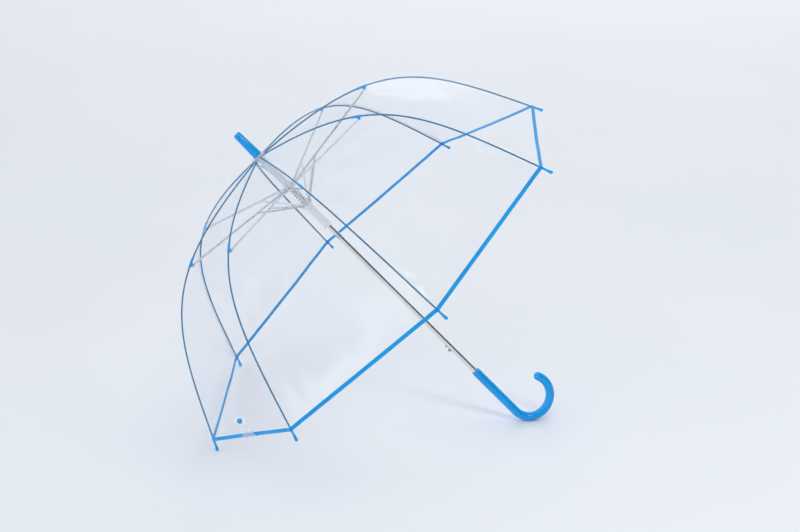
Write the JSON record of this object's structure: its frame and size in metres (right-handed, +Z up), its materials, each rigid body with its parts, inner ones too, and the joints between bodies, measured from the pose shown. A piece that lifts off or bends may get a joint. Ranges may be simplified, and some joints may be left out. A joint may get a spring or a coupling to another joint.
{
  "type": "clear dome umbrella",
  "caption": "Open clear dome umbrella with blue ribs, rim binding and crook handle, resting on two rib tips and the crook; it folds along its steel shaft.",
  "frame": {"origin": "middle of the object's footprint on the floor, in the open resting pose", "axes": "+Z up; the shaft lies in the XZ plane and slopes down toward +X, with the crook at +X and the ferrule at -X; +Y across the dome"},
  "size_m": [0.6998, 0.8136, 0.6464],
  "materials": {
    "blue_plastic": "gloss",
    "blue_rib": "satin",
    "blue_binding": "satin",
    "milky_plastic": "satin",
    "clear_film": "gloss",
    "steel": "polished",
    "zinc_steel": "satin"
  },
  "bodies": {
    "stick": {"shaft": "steel", "handle": "blue_plastic", "ferrule": "blue_plastic", "crown_notch": "milky_plastic", "crown_cap": "blue_plastic"},
    "hub_slider": {"hub": "milky_plastic", "opening_spring": "steel"},
    "runner_slider": {"runner": "milky_plastic"},
    "catch_leaf": {"catch": "steel"},
    "gore_1": {"canopy_top_1": "clear_film"},
    "gore_side_1": {"canopy_side_1": "clear_film"},
    "gore_2": {"canopy_top_2": "clear_film"},
    "gore_side_2": {"canopy_side_2": "clear_film"},
    "gore_3": {"canopy_top_3": "clear_film"},
    "gore_side_3": {"canopy_side_3": "clear_film"},
    "gore_4": {"canopy_top_4": "clear_film"},
    "gore_side_4": {"canopy_side_4": "clear_film", "closing_strap": "clear_film", "snap_cap": "blue_plastic", "snap_stud": "blue_plastic"},
    "gore_5": {"canopy_top_5": "clear_film"},
    "gore_side_5": {"canopy_side_5": "clear_film"},
    "gore_6": {"canopy_top_6": "clear_film"},
    "gore_side_6": {"canopy_side_6": "clear_film"},
    "gore_7": {"canopy_top_7": "clear_film"},
    "gore_side_7": {"canopy_side_7": "clear_film"},
    "gore_8": {"canopy_top_8": "clear_film"},
    "gore_side_8": {"canopy_side_8": "clear_film"},
    "rib_1": {"rib_upper_1": "blue_rib"},
    "rib_end_1": {"rib_lower_1": "blue_rib"},
    "stretcher_bar_1": {"stretcher_1": "zinc_steel"},
    "strut_bar_1": {"strut_1": "zinc_steel"},
    "rib_2": {"rib_upper_2": "blue_rib"},
    "rib_end_2": {"rib_lower_2": "blue_rib"},
    "stretcher_bar_2": {"stretcher_2": "zinc_steel"},
    "strut_bar_2": {"strut_2": "zinc_steel"},
    "rib_3": {"rib_upper_3": "blue_rib"},
    "rib_end_3": {"rib_lower_3": "blue_rib"},
    "stretcher_bar_3": {"stretcher_3": "zinc_steel"},
    "strut_bar_3": {"strut_3": "zinc_steel"},
    "rib_4": {"rib_upper_4": "blue_rib"},
    "rib_end_4": {"rib_lower_4": "blue_rib"},
    "stretcher_bar_4": {"stretcher_4": "zinc_steel"},
    "strut_bar_4": {"strut_4": "zinc_steel"},
    "rib_5": {"rib_upper_5": "blue_rib"},
    "rib_end_5": {"rib_lower_5": "blue_rib"},
    "stretcher_bar_5": {"stretcher_5": "zinc_steel"},
    "strut_bar_5": {"strut_5": "zinc_steel"},
    "rib_6": {"rib_upper_6": "blue_rib"},
    "rib_end_6": {"rib_lower_6": "blue_rib"},
    "stretcher_bar_6": {"stretcher_6": "zinc_steel"},
    "strut_bar_6": {"strut_6": "zinc_steel"},
    "rib_7": {"rib_upper_7": "blue_rib"},
    "rib_end_7": {"rib_lower_7": "blue_rib"},
    "stretcher_bar_7": {"stretcher_7": "zinc_steel"},
    "strut_bar_7": {"strut_7": "zinc_steel"},
    "rib_8": {"rib_upper_8": "blue_rib"},
    "rib_end_8": {"rib_lower_8": "blue_rib"},
    "stretcher_bar_8": {"stretcher_8": "zinc_steel"},
    "strut_bar_8": {"strut_8": "zinc_steel"}
  },
  "joints": [
    {"name": "runner_slide", "type": "slide", "parent": "stick", "child": "runner_slider", "axis": [0.708, 0, -0.7062], "range_m": [0, 0.3338], "stiffness_N_per_m": 40, "springref_m": -0.25, "deforming": ["canopy_top_1", "canopy_top_2", "canopy_top_3", "canopy_top_4", "canopy_top_5", "canopy_top_6", "canopy_top_7", "canopy_top_8", "canopy_side_1", "canopy_side_2", "canopy_side_3", "canopy_side_4", "canopy_side_5", "canopy_side_6", "canopy_side_7", "canopy_side_8", "closing_strap", "opening_spring"]},
    {"name": "hub_slide", "type": "slide", "parent": "stick", "child": "hub_slider", "axis": [0.708, 0, -0.7062], "range_m": [0, 0.3599]},
    {"name": "gore_fold_1", "type": "hinge", "parent": "stick", "child": "gore_1", "pos_m": [-0.21369, 0, 0.52065], "axis": [0, 1, 0], "range_deg": [0, 74.87]},
    {"name": "gore_bend_1", "type": "hinge", "parent": "gore_1", "child": "gore_side_1", "pos_m": [-0.0408, 0, 0.63347], "axis": [0, -1, 0], "range_deg": [0, 38.57]},
    {"name": "gore_fold_2", "type": "hinge", "parent": "stick", "child": "gore_2", "pos_m": [-0.21532, -0.00555, 0.51903], "axis": [0.4993, 0.7071, 0.5007], "range_deg": [0, 74.87]},
    {"name": "gore_bend_2", "type": "hinge", "parent": "gore_2", "child": "gore_side_2", "pos_m": [-0.0842, -0.14837, 0.58996], "axis": [-0.4993, -0.7071, -0.5007], "range_deg": [0, 38.57]},
    {"name": "gore_fold_3", "type": "hinge", "parent": "stick", "child": "gore_3", "pos_m": [-0.21924, -0.00785, 0.51509], "axis": [0.7062, 0, 0.708], "range_deg": [0, 74.87]},
    {"name": "gore_bend_3", "type": "hinge", "parent": "gore_3", "child": "gore_side_3", "pos_m": [-0.18897, -0.20982, 0.48491], "axis": [-0.7062, 0, -0.708], "range_deg": [0, 38.57]},
    {"name": "gore_fold_4", "type": "hinge", "parent": "stick", "child": "gore_4", "pos_m": [-0.22316, -0.00555, 0.51116], "axis": [0.4993, -0.7071, 0.5007], "range_deg": [0, 74.87]},
    {"name": "gore_bend_4", "type": "hinge", "parent": "gore_4", "child": "gore_side_4", "pos_m": [-0.29374, -0.14837, 0.37985], "axis": [-0.4993, 0.7071, -0.5007], "range_deg": [0, 38.57]},
    {"name": "gore_fold_5", "type": "hinge", "parent": "stick", "child": "gore_5", "pos_m": [-0.22478, 0, 0.50953], "axis": [0, -1, 0], "range_deg": [0, 74.87]},
    {"name": "gore_bend_5", "type": "hinge", "parent": "gore_5", "child": "gore_side_5", "pos_m": [-0.33714, 0, 0.33634], "axis": [0, 1, 0], "range_deg": [0, 38.57]},
    {"name": "gore_fold_6", "type": "hinge", "parent": "stick", "child": "gore_6", "pos_m": [-0.22316, 0.00555, 0.51116], "axis": [-0.4993, -0.7071, -0.5007], "range_deg": [0, 74.87]},
    {"name": "gore_bend_6", "type": "hinge", "parent": "gore_6", "child": "gore_side_6", "pos_m": [-0.29374, 0.14837, 0.37985], "axis": [0.4993, 0.7071, 0.5007], "range_deg": [0, 38.57]},
    {"name": "gore_fold_7", "type": "hinge", "parent": "stick", "child": "gore_7", "pos_m": [-0.21924, 0.00785, 0.51509], "axis": [-0.7062, 0, -0.708], "range_deg": [0, 74.87]},
    {"name": "gore_bend_7", "type": "hinge", "parent": "gore_7", "child": "gore_side_7", "pos_m": [-0.18897, 0.20982, 0.48491], "axis": [0.7062, 0, 0.708], "range_deg": [0, 38.57]},
    {"name": "gore_fold_8", "type": "hinge", "parent": "stick", "child": "gore_8", "pos_m": [-0.21532, 0.00555, 0.51903], "axis": [-0.4993, 0.7071, -0.5007], "range_deg": [0, 74.87]},
    {"name": "gore_bend_8", "type": "hinge", "parent": "gore_8", "child": "gore_side_8", "pos_m": [-0.0842, 0.14837, 0.58996], "axis": [0.4993, -0.7071, 0.5007], "range_deg": [0, 38.57]},
    {"name": "rib_fold_1", "type": "hinge", "parent": "stick", "child": "rib_1", "pos_m": [-0.21369, 0.00325, 0.52065], "axis": [-0.2702, 0.9239, -0.271], "range_deg": [0, 75.71]},
    {"name": "rib_bend_1", "type": "hinge", "parent": "rib_1", "child": "rib_end_1", "pos_m": [-0.03958, 0.08638, 0.63045], "axis": [0.2702, -0.9239, 0.271], "range_deg": [0, 37.08]},
    {"name": "stretcher_fold_1", "type": "hinge", "parent": "hub_slider", "child": "stretcher_bar_1", "pos_m": [-0.15766, 0.00035, 0.4678], "axis": [0.2702, -0.9239, 0.271], "range_deg": [0, 81.95]},
    {"name": "strut_fold_1", "type": "hinge", "parent": "runner_slider", "child": "strut_bar_1", "pos_m": [-0.12819, 0.00274, 0.43787], "axis": [0.2702, -0.9239, 0.271], "range_deg": [0, 51.96]},
    {"name": "rib_fold_2", "type": "hinge", "parent": "stick", "child": "rib_2", "pos_m": [-0.21369, -0.00325, 0.52065], "axis": [0.2702, 0.9239, 0.271], "range_deg": [0, 75.71]},
    {"name": "rib_bend_2", "type": "hinge", "parent": "rib_2", "child": "rib_end_2", "pos_m": [-0.03958, -0.08638, 0.63045], "axis": [-0.2702, -0.9239, -0.271], "range_deg": [0, 37.08]},
    {"name": "stretcher_fold_2", "type": "hinge", "parent": "hub_slider", "child": "stretcher_bar_2", "pos_m": [-0.15955, -0.00682, 0.4659], "axis": [-0.2702, -0.9239, -0.271], "range_deg": [0, 81.95]},
    {"name": "strut_fold_2", "type": "hinge", "parent": "runner_slider", "child": "strut_bar_2", "pos_m": [-0.12881, -0.00486, 0.43725], "axis": [-0.2702, -0.9239, -0.271], "range_deg": [0, 51.96]},
    {"name": "rib_fold_3", "type": "hinge", "parent": "stick", "child": "rib_3", "pos_m": [-0.21694, -0.00785, 0.5174], "axis": [0.6524, 0.3827, 0.6541], "range_deg": [0, 75.71]},
    {"name": "rib_bend_3", "type": "hinge", "parent": "rib_3", "child": "rib_end_3", "pos_m": [-0.12585, -0.20854, 0.54395], "axis": [-0.6524, -0.3827, -0.6541], "range_deg": [0, 37.08]},
    {"name": "stretcher_fold_3", "type": "hinge", "parent": "hub_slider", "child": "stretcher_bar_3", "pos_m": [-0.16447, -0.00999, 0.46097], "axis": [-0.6524, -0.3827, -0.6541], "range_deg": [0, 81.95]},
    {"name": "strut_fold_3", "type": "hinge", "parent": "runner_slider", "child": "strut_bar_3", "pos_m": [-0.13304, -0.00962, 0.433], "axis": [-0.6524, -0.3827, -0.6541], "range_deg": [0, 51.96]},
    {"name": "rib_fold_4", "type": "hinge", "parent": "stick", "child": "rib_4", "pos_m": [-0.22153, -0.00785, 0.51279], "axis": [0.6524, -0.3827, 0.6541], "range_deg": [0, 75.71]},
    {"name": "rib_bend_4", "type": "hinge", "parent": "rib_4", "child": "rib_end_4", "pos_m": [-0.24785, -0.20854, 0.42163], "axis": [-0.6524, 0.3827, -0.6541], "range_deg": [0, 37.08]},
    {"name": "stretcher_fold_4", "type": "hinge", "parent": "hub_slider", "child": "stretcher_bar_4", "pos_m": [-0.16953, -0.00732, 0.45589], "axis": [-0.6524, 0.3827, -0.6541], "range_deg": [0, 81.95]},
    {"name": "strut_fold_4", "type": "hinge", "parent": "runner_slider", "child": "strut_bar_4", "pos_m": [-0.13841, -0.00874, 0.42762], "axis": [-0.6524, 0.3827, -0.6541], "range_deg": [0, 51.96]},
    {"name": "rib_fold_5", "type": "hinge", "parent": "stick", "child": "rib_5", "pos_m": [-0.22478, -0.00325, 0.50953], "axis": [0.2702, -0.9239, 0.271], "range_deg": [0, 75.71]},
    {"name": "rib_bend_5", "type": "hinge", "parent": "rib_5", "child": "rib_end_5", "pos_m": [-0.33411, -0.08638, 0.33514], "axis": [-0.2702, 0.9239, -0.271], "range_deg": [0, 37.08]},
    {"name": "stretcher_fold_5", "type": "hinge", "parent": "hub_slider", "child": "stretcher_bar_5", "pos_m": [-0.17177, -0.00035, 0.45364], "axis": [-0.2702, 0.9239, -0.271], "range_deg": [0, 81.95]},
    {"name": "strut_fold_5", "type": "hinge", "parent": "runner_slider", "child": "strut_bar_5", "pos_m": [-0.14177, -0.00274, 0.42425], "axis": [-0.2702, 0.9239, -0.271], "range_deg": [0, 51.96]},
    {"name": "rib_fold_6", "type": "hinge", "parent": "stick", "child": "rib_6", "pos_m": [-0.22478, 0.00325, 0.50953], "axis": [-0.2702, -0.9239, -0.271], "range_deg": [0, 75.71]},
    {"name": "rib_bend_6", "type": "hinge", "parent": "rib_6", "child": "rib_end_6", "pos_m": [-0.33411, 0.08638, 0.33514], "axis": [0.2702, 0.9239, 0.271], "range_deg": [0, 37.08]},
    {"name": "stretcher_fold_6", "type": "hinge", "parent": "hub_slider", "child": "stretcher_bar_6", "pos_m": [-0.16988, 0.00682, 0.45554], "axis": [0.2702, 0.9239, 0.271], "range_deg": [0, 81.95]},
    {"name": "strut_fold_6", "type": "hinge", "parent": "runner_slider", "child": "strut_bar_6", "pos_m": [-0.14115, 0.00486, 0.42487], "axis": [0.2702, 0.9239, 0.271], "range_deg": [0, 51.96]},
    {"name": "rib_fold_7", "type": "hinge", "parent": "stick", "child": "rib_7", "pos_m": [-0.22153, 0.00785, 0.51279], "axis": [-0.6524, -0.3827, -0.6541], "range_deg": [0, 75.71]},
    {"name": "rib_bend_7", "type": "hinge", "parent": "rib_7", "child": "rib_end_7", "pos_m": [-0.24785, 0.20854, 0.42163], "axis": [0.6524, 0.3827, 0.6541], "range_deg": [0, 37.08]},
    {"name": "stretcher_fold_7", "type": "hinge", "parent": "hub_slider", "child": "stretcher_bar_7", "pos_m": [-0.16497, 0.00999, 0.46047], "axis": [0.6524, 0.3827, 0.6541], "range_deg": [0, 81.95]},
    {"name": "strut_fold_7", "type": "hinge", "parent": "runner_slider", "child": "strut_bar_7", "pos_m": [-0.13691, 0.00962, 0.42912], "axis": [0.6524, 0.3827, 0.6541], "range_deg": [0, 51.96]},
    {"name": "rib_fold_8", "type": "hinge", "parent": "stick", "child": "rib_8", "pos_m": [-0.21694, 0.00785, 0.5174], "axis": [-0.6524, 0.3827, -0.6541], "range_deg": [0, 75.71]},
    {"name": "rib_bend_8", "type": "hinge", "parent": "rib_8", "child": "rib_end_8", "pos_m": [-0.12585, 0.20854, 0.54395], "axis": [0.6524, -0.3827, 0.6541], "range_deg": [0, 37.08]},
    {"name": "stretcher_fold_8", "type": "hinge", "parent": "hub_slider", "child": "stretcher_bar_8", "pos_m": [-0.1599, 0.00732, 0.46555], "axis": [0.6524, -0.3827, 0.6541], "range_deg": [0, 81.95]},
    {"name": "strut_fold_8", "type": "hinge", "parent": "runner_slider", "child": "strut_bar_8", "pos_m": [-0.13154, 0.00874, 0.4345], "axis": [0.6524, -0.3827, 0.6541], "range_deg": [0, 51.96]},
    {"name": "catch_press", "type": "slide", "parent": "stick", "child": "catch_leaf", "axis": [0.6524, 0.3827, 0.6541], "range_m": [0, 0.0025], "stiffness_N_per_m": 400, "springref_m": -0.002}
  ],
  "couplings": [
    {"joint": "hub_slide", "follows": "runner_slide", "ratio": 1.0777},
    {"joint": "gore_fold_1", "follows": "runner_slide", "rad_per_m": 3.9118},
    {"joint": "gore_bend_1", "follows": "runner_slide", "rad_per_m": 2.014},
    {"joint": "gore_fold_2", "follows": "runner_slide", "rad_per_m": 3.9118},
    {"joint": "gore_bend_2", "follows": "runner_slide", "rad_per_m": 2.014},
    {"joint": "gore_fold_3", "follows": "runner_slide", "rad_per_m": 3.9118},
    {"joint": "gore_bend_3", "follows": "runner_slide", "rad_per_m": 2.014},
    {"joint": "gore_fold_4", "follows": "runner_slide", "rad_per_m": 3.9118},
    {"joint": "gore_bend_4", "follows": "runner_slide", "rad_per_m": 2.014},
    {"joint": "gore_fold_5", "follows": "runner_slide", "rad_per_m": 3.9118},
    {"joint": "gore_bend_5", "follows": "runner_slide", "rad_per_m": 2.014},
    {"joint": "gore_fold_6", "follows": "runner_slide", "rad_per_m": 3.9118},
    {"joint": "gore_bend_6", "follows": "runner_slide", "rad_per_m": 2.014},
    {"joint": "gore_fold_7", "follows": "runner_slide", "rad_per_m": 3.9118},
    {"joint": "gore_bend_7", "follows": "runner_slide", "rad_per_m": 2.014},
    {"joint": "gore_fold_8", "follows": "runner_slide", "rad_per_m": 3.9118},
    {"joint": "gore_bend_8", "follows": "runner_slide", "rad_per_m": 2.014},
    {"joint": "rib_fold_1", "follows": "runner_slide", "rad_per_m": 3.9558},
    {"joint": "rib_bend_1", "follows": "runner_slide", "rad_per_m": 1.936},
    {"joint": "stretcher_fold_1", "follows": "runner_slide", "rad_per_m": 4.2825},
    {"joint": "strut_fold_1", "follows": "runner_slide", "rad_per_m": 2.7141},
    {"joint": "rib_fold_2", "follows": "runner_slide", "rad_per_m": 3.9558},
    {"joint": "rib_bend_2", "follows": "runner_slide", "rad_per_m": 1.936},
    {"joint": "stretcher_fold_2", "follows": "runner_slide", "rad_per_m": 4.2825},
    {"joint": "strut_fold_2", "follows": "runner_slide", "rad_per_m": 2.7141},
    {"joint": "rib_fold_3", "follows": "runner_slide", "rad_per_m": 3.9558},
    {"joint": "rib_bend_3", "follows": "runner_slide", "rad_per_m": 1.936},
    {"joint": "stretcher_fold_3", "follows": "runner_slide", "rad_per_m": 4.2825},
    {"joint": "strut_fold_3", "follows": "runner_slide", "rad_per_m": 2.7141},
    {"joint": "rib_fold_4", "follows": "runner_slide", "rad_per_m": 3.9558},
    {"joint": "rib_bend_4", "follows": "runner_slide", "rad_per_m": 1.936},
    {"joint": "stretcher_fold_4", "follows": "runner_slide", "rad_per_m": 4.2825},
    {"joint": "strut_fold_4", "follows": "runner_slide", "rad_per_m": 2.7141},
    {"joint": "rib_fold_5", "follows": "runner_slide", "rad_per_m": 3.9558},
    {"joint": "rib_bend_5", "follows": "runner_slide", "rad_per_m": 1.936},
    {"joint": "stretcher_fold_5", "follows": "runner_slide", "rad_per_m": 4.2825},
    {"joint": "strut_fold_5", "follows": "runner_slide", "rad_per_m": 2.7141},
    {"joint": "rib_fold_6", "follows": "runner_slide", "rad_per_m": 3.9558},
    {"joint": "rib_bend_6", "follows": "runner_slide", "rad_per_m": 1.936},
    {"joint": "stretcher_fold_6", "follows": "runner_slide", "rad_per_m": 4.2825},
    {"joint": "strut_fold_6", "follows": "runner_slide", "rad_per_m": 2.7141},
    {"joint": "rib_fold_7", "follows": "runner_slide", "rad_per_m": 3.9558},
    {"joint": "rib_bend_7", "follows": "runner_slide", "rad_per_m": 1.936},
    {"joint": "stretcher_fold_7", "follows": "runner_slide", "rad_per_m": 4.2825},
    {"joint": "strut_fold_7", "follows": "runner_slide", "rad_per_m": 2.7141},
    {"joint": "rib_fold_8", "follows": "runner_slide", "rad_per_m": 3.9558},
    {"joint": "rib_bend_8", "follows": "runner_slide", "rad_per_m": 1.936},
    {"joint": "stretcher_fold_8", "follows": "runner_slide", "rad_per_m": 4.2825},
    {"joint": "strut_fold_8", "follows": "runner_slide", "rad_per_m": 2.7141}
  ]
}
